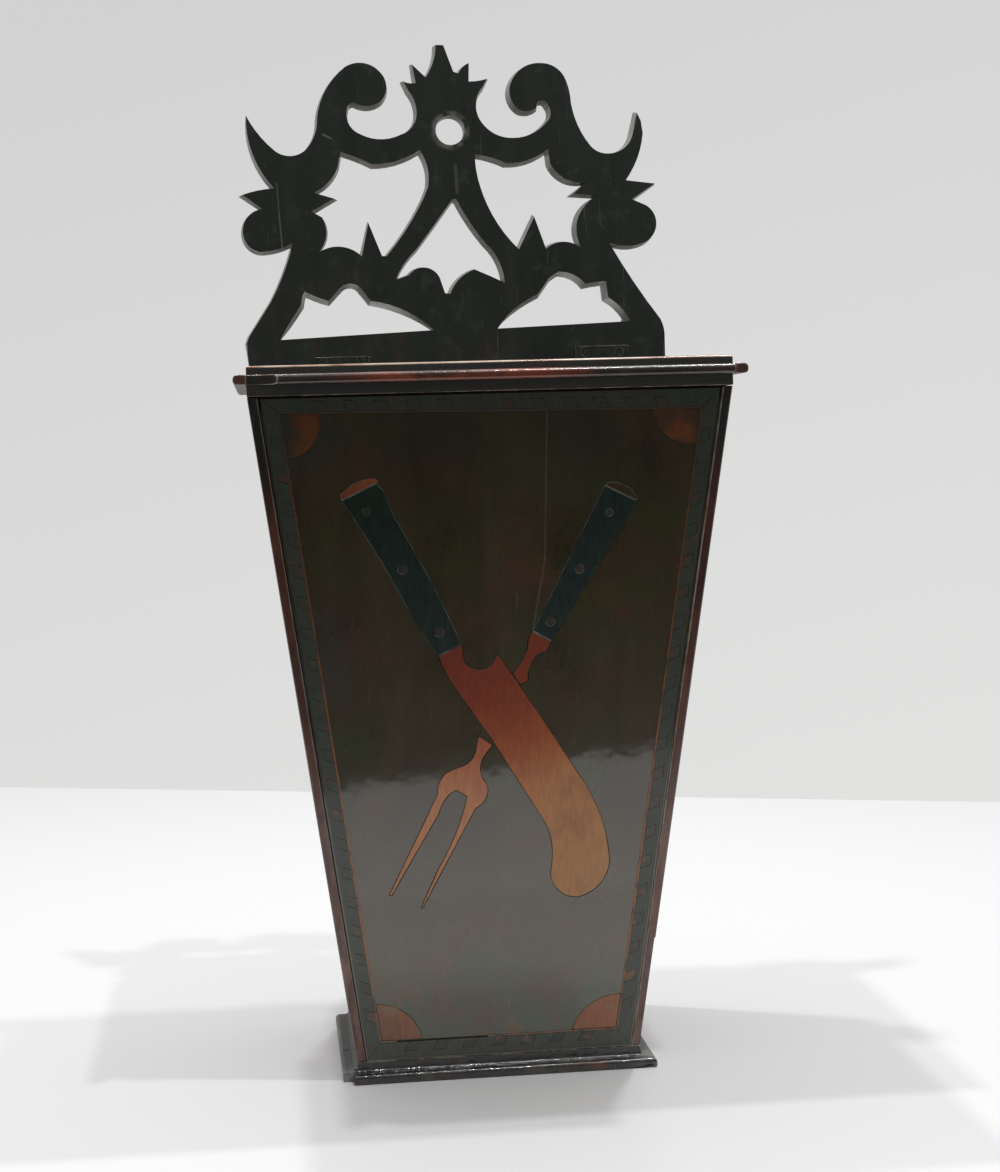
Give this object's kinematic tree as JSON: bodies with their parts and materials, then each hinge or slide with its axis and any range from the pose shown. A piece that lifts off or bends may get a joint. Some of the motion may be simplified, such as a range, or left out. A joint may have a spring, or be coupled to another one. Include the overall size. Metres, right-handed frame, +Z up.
{
  "type": "knife box",
  "caption": "Antique hanging knife box: tapering case with hinged lid, pierced scrolled backboard and crossed knife and fork inlay on the sloping front",
  "frame": {"origin": "centre of the footprint of the overall box, on the surface that the base stands on", "axes": "+Z up, +X to the right seen from the front, +Y from the front panel toward the backboard"},
  "size_m": [0.255, 0.1914, 0.5634],
  "materials": {
    "backboard": "French-polished mahogany, aged dark",
    "case_sides": "French-polished mahogany",
    "front_panel": "French-polished mahogany, aged dark",
    "base": "worn polished mahogany",
    "lid": "French-polished mahogany",
    "lid_moulding": "worn polished mahogany",
    "blade": "scorched and stained sycamore inlay",
    "tines": "stained sycamore inlay",
    "handles": "dyed dark pearwood inlay",
    "caps": "stained sycamore inlay",
    "rivets": "boxwood inlay",
    "fans": "sand-shaded satinwood inlay",
    "stringing": "boxwood stringing",
    "bands": "dyed dark pearwood banding",
    "lozenges": "satinwood inlay",
    "brass": "aged brass",
    "screws": "aged brass, darkened"
  },
  "bodies": {
    "carcass": {"backboard": "backboard", "left_side": "case_sides", "right_side": "case_sides", "front_panel": "front_panel", "bottom_board": "base", "base_moulding_front": "base", "base_moulding_left": "base", "base_moulding_right": "base", "knife_blade": "blade", "knife_handle": "handles", "knife_butt_cap": "caps", "knife_rivets": "rivets", "fork_neck": "blade", "fork_tines": "tines", "fork_handle": "handles", "fork_butt_cap": "caps", "fork_rivets": "rivets", "fan_bottom_left": "fans", "fan_bottom_right": "fans", "fan_top_right": "fans", "fan_top_left": "fans", "string_bottom": "stringing", "band_bottom": "bands", "lozenges_bottom": "lozenges", "string_right": "stringing", "band_right": "bands", "lozenges_right": "lozenges", "string_top": "stringing", "band_top": "bands", "lozenges_top": "lozenges", "string_left": "stringing", "band_left": "bands", "lozenges_left": "lozenges", "hinge_left_board_leaf": "brass", "hinge_right_board_leaf": "brass", "hinge_left_pin": "brass", "hinge_right_pin": "brass", "hinge_screws_board": "screws"},
    "lid": {"lid_board": "lid", "lid_moulding_front": "lid_moulding", "lid_moulding_left": "lid_moulding", "lid_moulding_right": "lid_moulding", "hinge_left_lid_leaf": "brass", "hinge_right_lid_leaf": "brass", "hinge_screws_lid": "screws"}
  },
  "joints": [
    {"name": "lid_hinge", "type": "hinge", "parent": "carcass", "child": "lid", "pos_m": [0, 0.081, 0.3786], "axis": [-1, 0, 0], "range_deg": [0, 90]}
  ]
}
